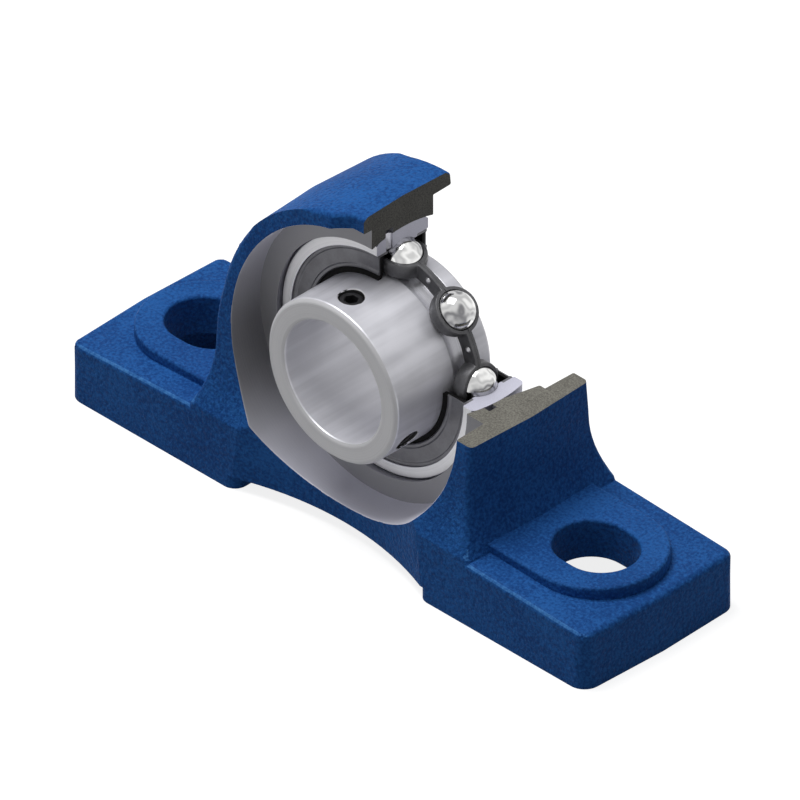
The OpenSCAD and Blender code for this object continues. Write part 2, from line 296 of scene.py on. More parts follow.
@dataclass(frozen=True)
class CastPaint:
    """Satin blue paint on cast iron, with the fine orange peel of a sprayed casting."""

    name: str = "blue_paint"
    colour: Colour = (0.021, 0.116, 0.378)
    shade: Colour = (0.009, 0.056, 0.218)
    cloud_mm: float = 14.0
    speck_mm: float = 0.75
    peel_mm: float = 1.1
    peel_depth_mm: float = 0.4
    cloud_share: float = 0.3
    contrast: Span = (0.36, 0.64)
    roughness: float = 0.5

    def make(self) -> bpy.types.Material:
        """The material for the painted faces."""
        recipe = Recipe(self.name)
        cloud = recipe.noise(self.cloud_mm, 3.0)
        speck = recipe.noise(self.speck_mm, 2.0, 0.6)
        tone = recipe.mottle(speck, cloud, self.cloud_share, self.contrast)
        recipe.put(
            base_color=recipe.blend(tone, self.shade, self.colour),
            roughness=self.roughness + speck * 0.2,
            specular_ior_level=0.06,
        )
        peel = recipe.noise(self.peel_mm, 2.5, 0.55)
        recipe.bump(peel, self.peel_depth_mm)
        return recipe.material


@dataclass(frozen=True)
class CutIron:
    """Sawn and ground grey iron, mottled by its graphite."""

    name: str
    light: Colour
    dark: Colour
    grain_mm: float = 0.4
    cloud_mm: float = 5.0
    grain_depth_mm: float = 0.05
    cloud_share: float = 0.15
    contrast: Span = (0.34, 0.66)
    roughness: float = 0.6

    def make(self) -> bpy.types.Material:
        """The material for the cut faces of the casting."""
        recipe = Recipe(self.name)
        grain = recipe.noise(self.grain_mm, 4.0, 0.7)
        cloud = recipe.noise(self.cloud_mm, 3.0, 0.6)
        tone = recipe.mottle(grain, cloud, self.cloud_share, self.contrast)
        recipe.put(
            base_color=recipe.blend(tone, self.dark, self.light),
            metallic=0.1,
            roughness=self.roughness + grain * 0.2,
            specular_ior_level=0.2,
        )
        recipe.bump(grain, self.grain_depth_mm)
        return recipe.material


@dataclass(frozen=True)
class BoredIron:
    """Iron bored in a lathe, with fine rings round the shaft axis.

    The colour carries painted shade and a painted highlight: it is darkest on the side at the given shade
    angle and grows lighter away from it, up to a highlight in the light colour.
    """

    name: str
    light: Colour
    dark: Colour
    centre: Vector
    ring_mm: float = 0.35
    cloud_mm: float = 7.0
    shine: float = 0.35
    # Angle round the shaft where the painted shade is darkest, in degrees
    painted_shade_deg: float = 200.0
    ring_share: float = 0.08
    cloud_share: float = 0.07
    roughness: float = 0.5

    def make(self) -> bpy.types.Material:
        """The material for a bored face."""
        recipe = Recipe(self.name)
        x, y, z = recipe.parts(recipe.turned(self.centre))
        radius = (x * x + z * z) ** 0.5
        turned = recipe.node("ShaderNodeCombineXYZ", {}, {0: radius, 1: y, 2: 0.0})
        rings = recipe.noise(self.ring_mm, 2.0, 0.6, turned)
        cloud = recipe.noise(self.cloud_mm, 3.0, 0.6)
        # Painted shade and highlight: the colour falls off towards one side of the bore and lightens away
        # from it
        shade_angle = math.radians(self.painted_shade_deg)
        facing = (x * math.cos(shade_angle) + z * math.sin(shade_angle)) / radius
        square = facing * facing
        lit = (1.0 - square * square) * (1.0 - self.ring_share - self.cloud_share)
        tone = lit + rings * self.ring_share + cloud * self.cloud_share
        recipe.put(
            base_color=recipe.blend(tone, self.dark, self.light),
            metallic=self.shine,
            roughness=self.roughness + cloud * 0.16,
            specular_ior_level=0.3,
        )
        return recipe.material


@dataclass(frozen=True)
class RingSteel:
    """Ground bearing steel, with faint streaks left by the wheel.

    The streaks run round the ring, or along the shaft where the steel is drawn, and drawn steel gets a
    painted highlight: its colour is lighter on one side of the ring, at the given highlight angle.
    """

    name: str
    colour: Colour
    shade: Colour
    centre: Vector
    metallic: float = 0.75
    roughness: float = 0.3
    streak_mm: float = 0.28
    drawn: bool = False
    drawn_r_mm: float = 20.0
    drawn_share: float = 0.06
    # Angle round the shaft of the painted highlight on drawn steel, in degrees
    painted_highlight_deg: float = -50.0
    painted_highlight_from: float = 0.55
    painted_highlight_share: float = 0.7
    painted_highlight_rest: float = 0.55
    cloud_share: float = 0.25
    contrast: Span = (0.36, 0.64)
    cloud_mm: float = 9.0
    streak_depth_mm: float = 0.003

    def make(self) -> bpy.types.Material:
        """The material for a ground face of a ring."""
        recipe = Recipe(self.name)
        x, y, z = recipe.parts(recipe.turned(self.centre))
        radius = (x * x + z * z) ** 0.5
        if self.drawn:
            reach = self.drawn_r_mm * MM
            values = {0: x / radius * reach, 1: y * self.drawn_share, 2: z / radius * reach}
        else:
            values = {0: radius, 1: y, 2: 0.0}
        spread = recipe.node("ShaderNodeCombineXYZ", {}, values)
        streak = recipe.noise(self.streak_mm, 3.0, 0.6, spread)
        cloud = recipe.noise(self.cloud_mm, 2.0, 0.5)
        tone = recipe.mottle(streak, cloud, self.cloud_share, self.contrast)
        if self.drawn:
            # Painted highlight: drawn steel is lifted to a lighter colour on one side of the ring
            highlight_angle = math.radians(self.painted_highlight_deg)
            facing = (x * math.cos(highlight_angle) + z * math.sin(highlight_angle)) / radius
            tone = tone * self.painted_highlight_rest + facing.step(self.painted_highlight_from, 1.0) * self.painted_highlight_share
        recipe.put(
            base_color=recipe.blend(tone, self.shade, self.colour),
            metallic=self.metallic,
            roughness=self.roughness + streak * 0.12,
        )
        if not self.drawn:
            recipe.bump(streak, self.streak_depth_mm)
        return recipe.material


@dataclass(frozen=True)
class ChromeBall:
    """Mirror-polished ball steel with a painted reflection: swirled dark shapes painted into its colour
    stand in for what it mirrors.
    """

    name: str = "ball_chrome"
    colour: Colour = (0.88, 0.88, 0.87)
    painted_reflection: Colour = (0.20, 0.20, 0.21)
    painted_reflection_mm: float = 5.0
    swirls: float = 7.0
    swirl_share: float = 0.4
    contrast: Span = (0.40, 0.62)
    roughness: float = 0.07

    def make(self) -> bpy.types.Material:
        """The material for the balls."""
        recipe = Recipe(self.name)
        # Painted reflection: dark swirls in the colour stand in for the surroundings that the mirror would
        # show
        painted_reflection = recipe.noise(self.painted_reflection_mm, 1.5, 0.5)
        swirl = painted_reflection.step(*self.contrast) * (1.0 - self.swirl_share)
        swirl = swirl + painted_reflection.wave(self.swirls) * self.swirl_share
        recipe.put(
            base_color=recipe.blend(swirl, self.colour, self.painted_reflection),
            metallic=1.0,
            roughness=self.roughness + painted_reflection * 0.08,
        )
        return recipe.material


@dataclass(frozen=True)
class SheetSteel:
    """Dull pressed sheet steel, as on the cage and the seals."""

    name: str
    colour: Colour
    shade: Colour
    metallic: float = 0.6
    roughness: float = 0.38
    grain_mm: float = 0.6
    cloud_mm: float = 4.0
    grain_depth_mm: float = 0.006
    cloud_share: float = 0.6
    contrast: Span = (0.34, 0.66)

    def make(self) -> bpy.types.Material:
        """The material for a pressed sheet part."""
        recipe = Recipe(self.name)
        grain = recipe.noise(self.grain_mm, 3.0, 0.6)
        cloud = recipe.noise(self.cloud_mm, 2.0)
        tone = recipe.mottle(grain, cloud, self.cloud_share, self.contrast)
        recipe.put(
            base_color=recipe.blend(tone, self.shade, self.colour),
            metallic=self.metallic,
            roughness=self.roughness + grain * 0.15,
        )
        recipe.bump(grain, self.grain_depth_mm)
        return recipe.material


@dataclass(frozen=True)
class LipRubber:
    """Matte black nitrile rubber with a faint bloom."""

    name: str = "seal_rubber"
    colour: Colour = (0.003, 0.003, 0.003)
    bloom: Colour = (0.007, 0.007, 0.008)
    bloom_mm: float = 1.2
    bloom_depth_mm: float = 0.01
    contrast: Span = (0.4, 0.7)
    roughness: float = 0.6

    def make(self) -> bpy.types.Material:
        """The material for the sealing lips."""
        recipe = Recipe(self.name)
        bloom = recipe.noise(self.bloom_mm, 3.0, 0.6)
        recipe.put(
            base_color=recipe.blend(bloom.step(*self.contrast), self.colour, self.bloom),
            roughness=self.roughness + bloom * 0.2,
            specular_ior_level=0.1,
        )
        recipe.bump(bloom, self.bloom_depth_mm)
        return recipe.material


# Meshes


@dataclass(frozen=True)
class EdgeRule:
    """How wide the softened edges are at one kind of place on a piece."""

    width_mm: float
    holds: Callable[[Vector], bool]


def everywhere(point: Vector) -> bool:
    """Holds for every edge."""
    return True


def merged(node: str, flat_deg: float = 0.4, join_mm: float = 0.002) -> bpy.types.Mesh:
    """A copy of a CAD node's mesh with its loose triangles joined into faces.

    Args:
        node: Name of the node.
        flat_deg: Largest bend across which two faces count as one flat face.
        join_mm: Distance within which two points count as one.

    Returns:
        The new mesh.
    """
    mesh = frame["nodes"][node].data.copy()
    mesh.name = node
    mesh.materials.clear()
    work = bmesh.new()
    work.from_mesh(mesh)
    bmesh.ops.remove_doubles(work, verts=work.verts, dist=join_mm * MM)
    bmesh.ops.dissolve_degenerate(work, edges=work.edges, dist=join_mm * MM)
    bend = math.radians(flat_deg)
    bmesh.ops.dissolve_limit(work, angle_limit=bend, verts=work.verts, edges=work.edges)
    work.to_mesh(mesh)
    work.free()
    return mesh


def softened(
    mesh: bpy.types.Mesh,
    rules: list[EdgeRule],
    sharp_deg: float = 24.0,
    rounds: int = 2,
    inner: bool = True,
) -> bpy.types.Mesh:
    """Rounds a mesh's sharp edges, each by the first rule that holds for it.

    Args:
        mesh: Mesh with merged faces.
        rules: Widths for the kinds of edges, tried in order.
        sharp_deg: Smallest bend that counts as a sharp edge.
        rounds: Number of faces across each round.
        inner: Whether inner corners are rounded too.

    Returns:
        A new mesh with the rounds in it.
    """
    widest = max(rule.width_mm for rule in rules)
    work = bmesh.new()
    work.from_mesh(mesh)
    layers = work.edges.layers.float
    weight = layers.get("bevel_weight_edge") or layers.new("bevel_weight_edge")
    for edge in work.edges:
        edge[weight] = 0.0
        if len(edge.link_faces) != 2 or edge.calc_face_angle(0.0) < math.radians(sharp_deg):
            continue
        if not inner and not edge.is_convex:
            continue
        middle = (edge.verts[0].co + edge.verts[1].co) / 2 / MM
        for rule in rules:
            if rule.holds(middle):
                edge[weight] = rule.width_mm / widest
                break
    work.to_mesh(mesh)
    work.free()
    holder = bpy.data.objects.new("holder", mesh)
    bpy.context.scene.collection.objects.link(holder)
    bevel = holder.modifiers.new("rounds", "BEVEL")
    bevel.limit_method = "WEIGHT"
    bevel.offset_type = "OFFSET"
    bevel.width = widest * MM
    bevel.segments = rounds
    bevel.use_clamp_overlap = False
    bevel.miter_outer = "MITER_SHARP"
    made = plain_mesh(holder)
    bpy.data.objects.remove(holder)
    return made


def plain_mesh(holder: bpy.types.Object) -> bpy.types.Mesh:
    """The object's mesh with its modifiers carried out."""
    bpy.context.view_layer.update()
    graph = bpy.context.evaluated_depsgraph_get()
    return bpy.data.meshes.new_from_object(holder.evaluated_get(graph), depsgraph=graph)


def smooth(mesh: bpy.types.Mesh, sharp_deg: float = 30.0) -> bpy.types.Mesh:
    """Shades a mesh smooth, with its large faces kept flat.

    Args:
        mesh: Mesh to shade.
        sharp_deg: Bend from which an edge stays sharp.

    Returns:
        A new mesh in which only the narrow rounds carry the turn of the light.
    """
    mesh.shade_smooth()
    mesh.set_sharp_from_angle(angle=math.radians(sharp_deg))
    holder = bpy.data.objects.new("holder", mesh)
    bpy.context.scene.collection.objects.link(holder)
    weighted = holder.modifiers.new("shading", "WEIGHTED_NORMAL")
    weighted.keep_sharp = True
    made = plain_mesh(holder)
    bpy.data.objects.remove(holder)
    return made


def show(name: str, mesh: bpy.types.Mesh, body: str, nodes: Iterable[str]) -> bpy.types.Object:
    """Puts a finished mesh in the scene in place of its CAD nodes.

    Args:
        name: Name of the piece.
        mesh: Its mesh, with materials.
        body: Body that it rides on.
        nodes: CAD nodes that it stands for.

    Returns:
        The piece.
    """
    mesh.name = name
    piece = bpy.data.objects.new(name, mesh)
    bpy.context.scene.collection.objects.link(piece)
    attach(piece, body)
    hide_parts(*nodes)
    LOG.info("%s: %d faces", name, len(mesh.polygons))
    return piece


def dress(mesh: bpy.types.Mesh, material: bpy.types.Material) -> None:
    """Gives a whole mesh one material."""
    mesh.materials.clear()
    mesh.materials.append(material)


def paint_regions(
    mesh: bpy.types.Mesh,
    finishes: dict[Region, Finish],
    region_of: Callable[[Vector, Vector], Region],
) -> None:
    """Gives each face the material of its region.

    Args:
        mesh: Mesh to dress.
        finishes: Finish of each region.
        region_of: Region of a face, from its middle in millimetres and its normal.
    """
    order = list(finishes)
    mesh.materials.clear()
    for region in order:
        mesh.materials.append(finishes[region].make())
    for face in mesh.polygons:
        face.material_index = order.index(region_of(face.center / MM, face.normal))


@dataclass
class Axis:
    """The shaft axis and the cut quarter, in millimetres."""

    centre: Vector = field(default_factory=lambda: Vector(axis_point()) / MM)
    face_slack: float = 0.03
    square_on: float = 0.95

    def radius(self, point: Vector) -> float:
        """Distance of a point from the shaft axis."""
        return math.hypot(point.x - self.centre.x, point.z - self.centre.z)

    def inward(self, point: Vector, normal: Vector) -> float:
        """How far a face looks towards the shaft axis, from -1 to 1."""
        out = Vector((point.x - self.centre.x, 0.0, point.z - self.centre.z))
        return -normal.dot(out.normalized()) if out.length > 0 else 0.0

    def on_cut(self, point: Vector, slack: float = 0.02) -> bool:
        """Whether a point lies on one of the two cut planes."""
        on_side = abs(point.x) < slack and point.z > self.centre.z - slack
        on_floor = abs(point.z - self.centre.z) < slack and point.x > -slack
        return on_side or on_floor

    def cut_face(self, point: Vector, normal: Vector) -> bool:
        """Whether a face is part of the cut."""
        height = point.z - self.centre.z
        on_side = abs(point.x) < self.face_slack and normal.x > self.square_on and height > 0
        on_floor = abs(height) < self.face_slack and normal.z > self.square_on and point.x > 0
        return on_side or on_floor


def axis_point() -> list[float]:
    """The point on the shaft axis that the inner ring turns about."""
    return next(joint["pos_m"] for joint in frame["joints"] if joint["name"] == "inner_spin")


# The casting


@dataclass
class Housing:
    """The cast housing with its painted outside and its bored seat.

    Lengths are in millimetres. The facing and tilt values are the least shares of
    a face's normal that count, and the near values are how close a place has to be.
    """

    axis: Axis
    seat_y: float = 9.6
    recess_r: float = 34.9
    mouth_r: float = 35.3
    groove_r: float = 36.5
    bore_low: float = 7.0
    relief_top: float = 3.6
    hollow_top: float = 8.1
    hollow_y: float = 17.1
    hollow_x: float = 74.6
    pad_z: float = 18.0
    foot_low: float = 14.0
    foot_high: float = 19.0
    rim_x: float = 78.0
    rim_y: float = 20.0
    body_x: float = 40.5
    body_low: float = 37.0
    base_y: float = 24.0
    seam_x: float = -38.0
    side_x: float = -15.0
    side_y: float = 16.2
    near: float = 0.1
    near_pad: float = 0.02
    near_land: float = 0.2
    near_recess: float = 0.3
    near_mouth: float = 0.4
    near_rim: float = 0.6
    land_facing: float = 0.9
    bore_facing: float = 0.6
    highlight_facing: float = 0.45
    highlight_tilt: Span = (0.5, 0.87)
    foot_round: float = 1.4
    crease_round: float = 0.4
    pad_round: float = 0.8
    body_round: float = 1.2
    fine_round: float = 0.25
    seam_blend: float = 4.2

    def shoulder(self) -> list[EdgeRule]:
        """Width of the blend where the body's round top runs into its side wall."""
        height = self.axis.centre.z

        def at_seam(p: Vector) -> bool:
            """The edge along the body's side at the shaft's height."""
            return p.x < self.seam_x and abs(p.z - height) < self.near

        return [EdgeRule(self.seam_blend, at_seam)]

    def rules(self) -> list[EdgeRule]:
        """Widths of the rounds on the casting's edges."""
        radius = self.axis.radius

        def in_bore(p: Vector) -> bool:
            """Edges of the bored seat and recesses."""
            return radius(p) < self.mouth_r + self.near_rim and p.z > self.bore_low

        def at_bore_floor(p: Vector) -> bool:
            """Inner corners where the recess walls meet their floors."""
            outside = radius(p) > self.recess_r - self.near_recess
            return abs(abs(p.y) - self.seat_y) < self.near and outside

        def underneath(p: Vector) -> bool:
            """Edges of the mounting face and the relief."""
            return p.z < self.relief_top

        def in_hollow(p: Vector) -> bool:
            """Edges of the hollows under the feet."""
            return p.z < self.hollow_top and abs(p.y) < self.hollow_y and abs(p.x) < self.hollow_x

        def pad_top(p: Vector) -> bool:
            """Edges of the pads' flat tops and of the slots in them."""
            return abs(p.z - self.pad_z) < self.near_pad

        def flank_crease(p: Vector) -> bool:
            """Edges where the flared faces of the body meet the base's sides."""
            return p.z < self.foot_high and abs(p.x) < self.body_x

        def foot_top(p: Vector) -> bool:
            """Outer top edges of the feet."""
            at_rim = abs(p.y) > self.rim_y or abs(p.x) > self.rim_x
            return self.foot_low < p.z < self.foot_high and at_rim

        def on_side(p: Vector) -> bool:
            """Fine edges on the body's round side, away from its rims."""
            outside = radius(p) > self.body_low and p.z > self.foot_high
            return outside and p.x < self.side_x and abs(p.y) < self.side_y

        return [
            EdgeRule(0.0, self.axis.on_cut),
            EdgeRule(0.0, at_bore_floor),
            EdgeRule(self.fine_round, in_bore),
            EdgeRule(0.0, underneath),
            EdgeRule(0.0, in_hollow),
            EdgeRule(self.pad_round, pad_top),
            EdgeRule(self.crease_round, flank_crease),
            EdgeRule(self.foot_round, foot_top),
            EdgeRule(0.0, on_side),
            EdgeRule(self.body_round, everywhere),
        ]

    def region(self, point: Vector, normal: Vector) -> Region:
        """Region of a face of the casting.

        Args:
            point: Middle of the face in millimetres.
            normal: Its outward normal.

        Returns:
            The region.
        """
        if self.axis.cut_face(point, normal):
            # Painted shade: the cut face that looks sideways takes a darker copy of the cut iron than the
            # one that looks up
            return Region.CUT if normal.z > normal.x else Region.SHADED_CUT
        radius = self.axis.radius(point)
        along = abs(point.y)
        if radius < self.mouth_r + self.near_mouth and along < self.base_y:
            in_recess = radius < self.recess_r + self.near_recess
            at_floor = abs(along - self.seat_y) < self.near_land and in_recess
            if abs(normal.y) > self.land_facing and at_floor:
                return Region.LAND
            if along < self.seat_y + self.near and radius < self.groove_r:
                return Region.SEAT
            if self.axis.inward(point, normal) > self.bore_facing:
                return Region.BORED
        # Painted highlight: the middle strip of the round along the feet's outer top edges gets a lighter
        # blue paint
        at_rim = self.foot_low < point.z < self.foot_high and along > self.rim_y
        low, high = self.highlight_tilt
        if at_rim and low < normal.z < high and abs(normal.y) > self.highlight_facing:
            return Region.PAINTED_HIGHLIGHT
        return Region.PAINT

    def build(self) -> bpy.types.Object:
        """The dressed casting."""
        mesh = softened(merged("housing"), self.shoulder(), sharp_deg=12.0, rounds=5, inner=False)
        mesh = softened(mesh, self.rules(), rounds=6, inner=False)
        centre = self.axis.centre * MM
        finishes = {
            Region.PAINT: CastPaint(),
            # Lighter blue painted as a highlight along the feet's top edges
            Region.PAINTED_HIGHLIGHT: CastPaint("blue_paint_highlight", (0.060, 0.210, 0.520), (0.025, 0.120, 0.370)),
            Region.CUT: CutIron("cut_iron", (0.235, 0.228, 0.198), (0.105, 0.100, 0.088)),
            # Darker copy of the cut iron, painted shade for the sideways cut face
            Region.SHADED_CUT: CutIron("cut_iron_shaded", (0.150, 0.147, 0.135), (0.055, 0.055, 0.052)),
            # The bored wall, land and seat carry painted shade and a painted highlight round the shaft axis
            Region.BORED: BoredIron("bored_wall", (0.82, 0.82, 0.92), (0.19, 0.19, 0.20), centre),
            Region.LAND: BoredIron(
                "bored_land", (0.36, 0.36, 0.38), (0.26, 0.26, 0.275), centre, shine=0.2
            ),
            Region.SEAT: BoredIron("bored_seat", (0.32, 0.32, 0.36), (0.22, 0.22, 0.25), centre),
        }
        paint_regions(mesh, finishes, self.region)
        mesh = smooth(mesh, 17.0)
        return show("dressed_housing", mesh, "housing", ["housing"])


# The insert bearing


@dataclass
class OuterRing:
    """The outer ring with its spherical outside and deep raceway."""

    axis: Axis
    half_width: float = 8.0
    near: float = 0.05
    race_facing: float = 0.1
    edge_round: float = 0.15

    def region(self, point: Vector, normal: Vector) -> Region:
        """Region of a face of the ring."""
        if self.axis.cut_face(point, normal):
            return Region.CUT
        at_end = abs(abs(point.y) - self.half_width) < self.near
        if abs(normal.y) > self.axis.square_on and at_end:
            return Region.FACE
        if self.axis.inward(point, normal) > self.race_facing and abs(point.y) < RACE_Y:
            return Region.RACE
        return Region.GROUND

    def build(self) -> bpy.types.Object:
        """The dressed outer ring."""
        rules = [EdgeRule(0.0, self.axis.on_cut), EdgeRule(self.edge_round, everywhere)]
        mesh = softened(merged("outer_ring"), rules)
        centre = self.axis.centre * MM
        finishes = {
            Region.CUT: RingSteel("ring_cut", (0.58, 0.58, 0.68), (0.52, 0.52, 0.61), centre, 0.3, 0.5),
            Region.FACE: RingSteel("ring_face", (0.95, 0.95, 0.97), (0.88, 0.88, 0.90), centre, 0.4, 0.45),
            Region.RACE: RingSteel("ring_race", (0.62, 0.62, 0.66), (0.52, 0.52, 0.56), centre, 0.9, 0.16),
            Region.GROUND: RingSteel(
                "ring_ground", (0.55, 0.55, 0.60), (0.45, 0.45, 0.50), centre, 0.8, 0.26
            ),
        }
        paint_regions(mesh, finishes, self.region)
        mesh = smooth(mesh)
        return show("dressed_outer_ring", mesh, "insert", ["outer_ring"])


@dataclass
class InnerRing:
    """The long inner ring with its two screw holes."""

    axis: Axis
    bore_r: float = 15.0
    race_r: float = 20.1
    face_zone_y: float = 7.0
    screw_y: float = -16.0
    screw_r: float = 3.0
    screw_degs: Span = (90.0, -30.0)
    near: float = 0.1
    wall_tilt: float = 0.6
    race_facing: float = 0.1
    facing: float = 0.5
    edge_round: float = 0.2

    def in_screw_hole(self, point: Vector, normal: Vector) -> bool:
        """Whether a face is part of a screw hole's wall."""
        for degrees in self.screw_degs:
            along = Vector((math.cos(math.radians(degrees)), 0.0, math.sin(math.radians(degrees))))
            arm = point - self.axis.centre - Vector((0.0, self.screw_y, 0.0))
            off_axis = (arm - along * arm.dot(along)).length
            near_screw = arm.dot(along) > self.bore_r and off_axis < self.screw_r + self.near
            if near_screw and abs(normal.dot(along)) < self.wall_tilt:
                return True
        return False

    def region(self, point: Vector, normal: Vector) -> Region:
        """Region of a face of the ring."""
        if self.in_screw_hole(point, normal):
            return Region.THREAD
        if abs(normal.y) > self.facing and abs(point.y) > self.face_zone_y:
            return Region.FACE
        inward = self.axis.inward(point, normal)
        in_race = abs(point.y) < RACE_Y and self.axis.radius(point) < self.race_r
        if inward < -self.race_facing and in_race:
            return Region.RACE
        return Region.BORE if inward > self.facing else Region.GROUND

    def build(self) -> bpy.types.Object:
        """The dressed inner ring."""
        rules = [EdgeRule(self.edge_round, everywhere)]
        mesh = softened(merged("inner_ring"), rules, rounds=1)
        centre = self.axis.centre * MM
        # Drawn steel carries a painted highlight on one side of the ring
        drawn = {"metallic": 0.4, "roughness": 0.34, "streak_mm": 6.0, "drawn": True}
        finishes = {
            Region.FACE: RingSteel("inner_face", (0.60, 0.60, 0.62), (0.55, 0.55, 0.57), centre, 0.2, 0.45),
            Region.RACE: RingSteel("inner_race", (0.70, 0.70, 0.75), (0.58, 0.58, 0.62), centre, 0.5, 0.3),
            Region.GROUND: RingSteel(
                "inner_ground", (0.88, 0.88, 0.94), (0.52, 0.52, 0.56), centre, **drawn
            ),
            Region.BORE: RingSteel("inner_bore", (0.95, 0.95, 1.00), (0.66, 0.66, 0.70), centre, **drawn),
            # Painted shade: the screw holes' walls are near black, standing for the shadow inside the
            # threads
            Region.THREAD: SheetSteel("thread_shade", (0.02, 0.02, 0.02), (0.01, 0.01, 0.01), 0.1, 0.6),
        }
        paint_regions(mesh, finishes, self.region)
        mesh = smooth(mesh, 15.0)
        return show("dressed_inner_ring", mesh, "inner", ["inner_ring"])


@dataclass
class BallSet:
    """Eight balls, each made by one Geometry Nodes tree and placed on the pitch circle."""

    axis: Axis
    count: int = BALLS
    radius: float = 9.525 / 2
    pitch_r: float = PITCH_R
    segments: int = 96

    def tree(self, material: bpy.types.Material) -> bpy.types.NodeTree:
        """The tree that makes one ball at a point.

        Args:
            material: Finish of the ball.

        Returns:
            A tree with a radius and a centre as inputs.
        """
        tree = bpy.data.node_groups.new("ball_tree", "GeometryNodeTree")
        tree.interface.new_socket("Geometry", in_out="OUTPUT", socket_type="NodeSocketGeometry")
        tree.interface.new_socket("Radius", in_out="INPUT", socket_type="NodeSocketFloat")
        tree.interface.new_socket("Centre", in_out="INPUT", socket_type="NodeSocketVector")
        given = tree.nodes.new("NodeGroupInput")
        result = tree.nodes.new("NodeGroupOutput")
        ball = tree.nodes.new("GeometryNodeMeshUVSphere")
        ball.inputs["Segments"].default_value = self.segments
        ball.inputs["Rings"].default_value = self.segments // 2
        shade = tree.nodes.new("GeometryNodeSetShadeSmooth")
        move = tree.nodes.new("GeometryNodeTransform")
        finish = tree.nodes.new("GeometryNodeSetMaterial")
        finish.inputs["Material"].default_value = material
        real = tree.nodes.new("GeometryNodeRealizeInstances")
        link = tree.links.new
        link(given.outputs["Radius"], ball.inputs["Radius"])
        link(ball.outputs["Mesh"], shade.inputs["Geometry"])
        link(shade.outputs["Geometry"], move.inputs["Geometry"])
        link(given.outputs["Centre"], move.inputs["Translation"])
        link(move.outputs["Geometry"], real.inputs["Geometry"])
        link(real.outputs["Geometry"], finish.inputs["Geometry"])
        link(finish.outputs["Geometry"], result.inputs["Geometry"])
        return tree

    def build(self) -> list[bpy.types.Object]:
        """The eight dressed balls."""
        tree = self.tree(ChromeBall().make())
        pieces = []
        for number in range(1, self.count + 1):
            angle = 2 * math.pi * (number - 1) / self.count
            reach = Vector((math.cos(angle), 0.0, math.sin(angle))) * self.pitch_r
            inputs = {"Radius": self.radius * MM, "Centre": (self.axis.centre + reach) * MM}
            mesh = grown(tree, inputs)
            node = f"ball_{number}"
            pieces.append(show(f"dressed_{node}", mesh, f"{node}_body", [node]))
        return pieces


def grown(tree: bpy.types.NodeTree, inputs: dict[str, Any]) -> bpy.types.Mesh:
    """The mesh that a Geometry Nodes tree makes from its inputs.

    Args:
        tree: The tree.
        inputs: Value of each named input.

    Returns:
        A plain mesh.
    """
    holder = bpy.data.objects.new("holder", bpy.data.meshes.new("holder"))
    bpy.context.scene.collection.objects.link(holder)
    modifier = holder.modifiers.new("tree", "NODES")
    modifier.node_group = tree
    for item in tree.interface.items_tree:
        if item.in_out == "INPUT" and item.name in inputs:
            modifier[item.identifier] = inputs[item.name]
    mesh = plain_mesh(holder)
    bpy.data.objects.remove(holder)
    return mesh


